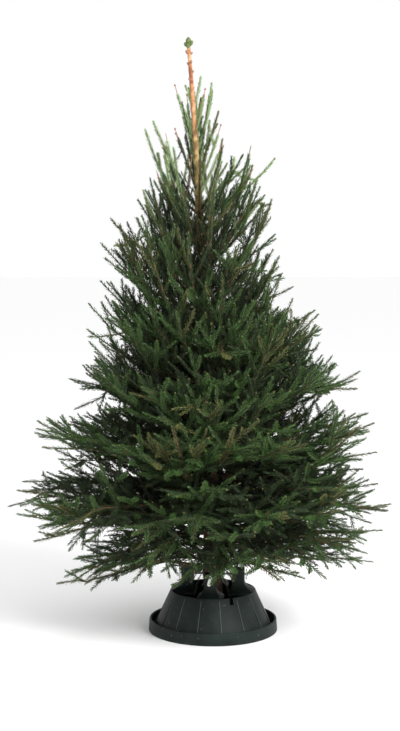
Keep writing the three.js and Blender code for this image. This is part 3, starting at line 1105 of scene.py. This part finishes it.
def rib():
    shape = bmesh.new()
    corners = [shape.verts.new((x, -RIB_WIDTH / 2, z)) for x, z in rib_outline]
    extruded(shape, [shape.faces.new(corners)], (0, RIB_WIDTH, 0))
    face_outwards(shape)
    for side in shape.faces:
        side.normal_update()
        # Outward faces take the paler plastic.
        side.material_index = 1 if side.normal.x > 0.3 else 0
    bevelled(shape, shape.edges[:], 0.0005, segments=2)
    return shape


# %% [markdown]
# Each of the four posts is a curved plate that flares into the collar like a shoulder. A flat grid
# is its front view. The grid's rows are narrowed to the post's width at each height and laid on its
# outer surface. Extruding it and moving the new side in to the inner surface gives it thickness.

# %% Posts
POST_TURNS = [math.radians(-96 + 90 * number) for number in range(4)]
POST_INNER, POST_OUTER, POST_FOOT = 0.070, 0.110, 0.006
POST_WAIST, POST_TOP = 0.178, stand_high.z
POST_HALF, SHOULDER_HALF = 0.019, 0.046
POST_ROWS, POST_COLUMNS = 44, 9


def eased(height, low, high):
    """Runs from 0 at low to 1 at high, fast at first and then levelling off."""
    share = min(1.0, max(0.0, (height - low) / (high - low)))
    return 1 - (1 - share) ** 2.6


def post_radius(height):
    """How far the post's outer surface stands from the middle of the stand."""
    bend, root = COLLAR_HEIGHT - 0.002, COLLAR - 0.001
    if height < bend:
        return float(np.interp(height, [POST_FOOT, bend], [CONE_FOOT - WALL, root]))
    return root + (POST_OUTER - root) * eased(height, bend, POST_WAIST)


def post_half(height):
    """Half the post's width."""
    flare_low, flare_high = COLLAR_HEIGHT - 0.030, COLLAR_HEIGHT - 0.012
    wider = SHOULDER_HALF - POST_HALF
    if height < flare_high:
        return POST_HALF + wider * float(np.interp(height, [flare_low, flare_high], [0, 1]))
    return SHOULDER_HALF - wider * eased(height, COLLAR_HEIGHT - 0.006, POST_WAIST)


def post():
    shape = bmesh.new()
    bmesh.ops.create_grid(shape, x_segments=POST_COLUMNS, y_segments=POST_ROWS, size=1)
    for vertex in shape.verts:
        height = POST_FOOT + (POST_TOP - POST_FOOT) * (vertex.co.y + 1) / 2
        across = vertex.co.x * post_half(height)
        radius = post_radius(height)
        vertex.co = (math.sqrt(radius**2 - across**2), across, height)
    for vertex in extruded(shape, shape.faces[:]):
        vertex.co.x = math.sqrt(POST_INNER**2 - vertex.co.y**2)
    face_outwards(shape)
    closed = [e for e in shape.edges if len(e.link_faces) == 2]
    bevelled(shape, [e for e in closed if e.calc_face_angle() > math.radians(50)], 0.0018)
    return shape


# %% [markdown]
# The plastic is dark green, nearly black, and slightly glossy. It is dusty, the outer faces of its
# ribs are paler, and it has small scuffs. One noise gives broad patches, a finer one the moulded
# grain, and a sharp ramp on a third leaves a few light specks.

# %% The stand's plastic
def plastic(name, dark, light, speck, gloss):
    look = Look(name, specular=0.16)
    patches = look.noise(14, detail=6)
    tones = look.ramp(patches, [(0.35, dark), (0.7, light)])
    scuffs = look.noise(95, detail=3)
    few = look.ramp(scuffs, [(0.69, (0, 0, 0)), (0.74, (1, 1, 1))])
    look.color(look.mix(few, tones, plain_over=speck))
    look.rough(patches, gloss - 0.08, gloss + 0.12)
    look.bump(look.noise(900), strength=0.25, distance=0.0004)
    return look.material


stand_green = plastic(
    "stand_plastic_dark", dark=(0.005, 0.008, 0.007), light=(0.013, 0.021, 0.018),
    speck=(0.11, 0.12, 0.11), gloss=0.50,
)
# A paler plastic for the narrow outer faces of the ribs.
pale_rib_plastic = plastic(
    "stand_plastic_pale_rib", dark=(0.05, 0.06, 0.054), light=(0.09, 0.105, 0.095),
    speck=(0.20, 0.20, 0.19), gloss=0.60,
)

# %% Join the stand and cut the filling notch
NOTCH_TURN = math.radians(-66)
NOTCH_REACH, NOTCH_WIDTH, NOTCH_DEPTH = 0.060, 0.013, 0.022

shell_piece = show("stand_shell", spun(shell_outline, SPIN_STEPS), [stand_green, pale_rib_plastic])
block = bmesh.new()
bmesh.ops.create_cube(block, size=1)
bmesh.ops.scale(block, vec=(NOTCH_REACH, NOTCH_WIDTH, NOTCH_DEPTH * 2), verts=block.verts)
shift(block, x=COLLAR, z=COLLAR_HEIGHT)
swing(block, NOTCH_TURN, "Z")
cutter = placed("notch_cutter", mesh_from("notch_cutter", block))
cut = shell_piece.modifiers.new("notch", "BOOLEAN")
cut.operation = "DIFFERENCE"
cut.object = cutter
bpy.context.view_layer.update()
evaluated = shell_piece.evaluated_get(bpy.context.evaluated_depsgraph_get())
notched = bmesh.new()
notched.from_mesh(evaluated.to_mesh())
evaluated.to_mesh_clear()
bpy.data.objects.remove(cutter)
bpy.data.objects.remove(shell_piece)

for number in range(RIBS):
    joined(notched, rib(), RIB_TURN + number * 2 * math.pi / RIBS)
for turn in POST_TURNS:
    joined(notched, post(), turn)
stand_piece = show("stand_moulding", notched, [stand_green, pale_rib_plastic])
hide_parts("stand")

# %% [markdown]
# ## The thumb screws
#
# Four zinc-plated screws pass through the posts and press on the trunk. A screw is a threaded rod
# with a flat plate for a handle. A saw-tooth profile spun round the rod looks like a thread from any
# distance at which the whole stand is seen.

# %% Rod and handle
PITCH = 0.0018
ROD_RADIUS = 0.004
HANDLE_LENGTH, HANDLE_WIDTH, HANDLE_THICKNESS = 0.038, 0.012, 0.004
HANDLE_TURNS = [math.radians(degrees) for degrees in (-12, 4, -40, 8)]


def threaded_rod(inner, outer):
    """A saw-toothed rod along X, from inner to outer."""
    teeth = int((outer - inner) / PITCH)
    outline = [(0, inner)]
    for tooth in range(teeth):
        at = inner + tooth * PITCH
        outline += [(ROD_RADIUS * 0.86, at), (ROD_RADIUS, at + PITCH / 2)]
    outline += [(ROD_RADIUS * 0.86, outer), (0, outer)]
    shape = spun(outline, 20)
    swing(shape, math.pi / 2, "Y")
    return shape


def handle(outer, turn):
    """A flat plate with round ends, square to the rod, at its outer end."""
    shape = bmesh.new()
    bmesh.ops.create_circle(shape, cap_ends=True, segments=32, radius=HANDLE_WIDTH / 2)
    half = (HANDLE_LENGTH - HANDLE_WIDTH) / 2
    for vertex in shape.verts:
        vertex.co.x += half if vertex.co.x > 0 else -half
    extruded(shape, shape.faces[:], (0, 0, HANDLE_THICKNESS))
    face_outwards(shape)
    bevelled(shape, [e for e in shape.edges if e.calc_face_angle() > math.radians(60)], 0.0012)
    shift(shape, z=-HANDLE_THICKNESS / 2)
    swing(shape, math.pi / 2, "Y")
    swing(shape, turn, "X")
    shift(shape, x=outer)
    return shape


# %% The zinc finish
def zinc_material():
    look = Look("zinc_plate", specular=0.5)
    look.inputs["Metallic"].default_value = 1.0
    spangle = look.noise(260, detail=4)
    look.color(look.ramp(spangle, [(0.3, (0.36, 0.35, 0.33)), (0.7, (0.72, 0.71, 0.68))]))
    look.rough(spangle, 0.25, 0.5)
    return look.material


zinc = zinc_material()
for number, turn in enumerate(POST_TURNS):
    name = f"screw_{number + 1}"
    points = node_points(name)
    reach = points @ toward(turn)
    outer = reach.max() - HANDLE_THICKNESS / 2
    screw = bmesh.new()
    joined(screw, threaded_rod(reach.min(), outer))
    joined(screw, handle(outer, HANDLE_TURNS[number]))
    height = (points[:, 2].min() + points[:, 2].max()) / 2
    swing(screw, turn, "Z")
    shift(screw, z=height)
    piece = show(f"thumb_{name}", screw, [zinc])
    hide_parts(name)

# %% [markdown]
# ## Floor, light and camera
#
# A pale floor under an evenly white sky gives soft light from all round. One large lamp from the
# upper right gives the shoots a bright side. With the plain view transform white stays white.

# %% Floor and light
bpy.context.scene.view_settings.view_transform = "Standard"
level_ground = bmesh.new()
bmesh.ops.create_grid(level_ground, x_segments=1, y_segments=1, size=30)
shift(level_ground, z=cad_low.z)
floor = placed("floor", mesh_from("floor", level_ground))
floor.data.materials.append(plain("pale_floor", (0.97, 0.97, 0.97), 0.9))
floor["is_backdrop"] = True

world = bpy.data.worlds.new("studio")
bpy.context.scene.world = world
world.use_nodes = True
sky = world.node_tree.nodes["Background"]
sky.inputs["Color"].default_value = (1, 1, 1, 1)
sky.inputs["Strength"].default_value = 1.0

softbox = placed("softbox", bpy.data.lights.new("softbox", "AREA"))
softbox.data.energy = 300
softbox.data.size = 2.2
softbox.location = (2.6, -3.2, 3.4)
aim = Vector((0, 0, 1.0)) - softbox.location
softbox.rotation_euler = aim.to_track_quat("-Z", "Y").to_euler()

# %% Camera
LOOK_DOWN = math.radians(5.633)
camera = placed("camera", bpy.data.cameras.new("camera"))
camera.data.lens = 75.3
camera.location = (-0.045, -5.2, 1.432)
camera.rotation_euler = (math.pi / 2 - LOOK_DOWN, 0, 0)
bpy.context.scene.camera = camera

# %% Gather and print the sizes
low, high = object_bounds()
sizes = {"cad": [list(cad_low), list(cad_high)], "visual": [list(low), list(high)]}
print("cad", sizes["cad"], "visual", sizes["visual"])
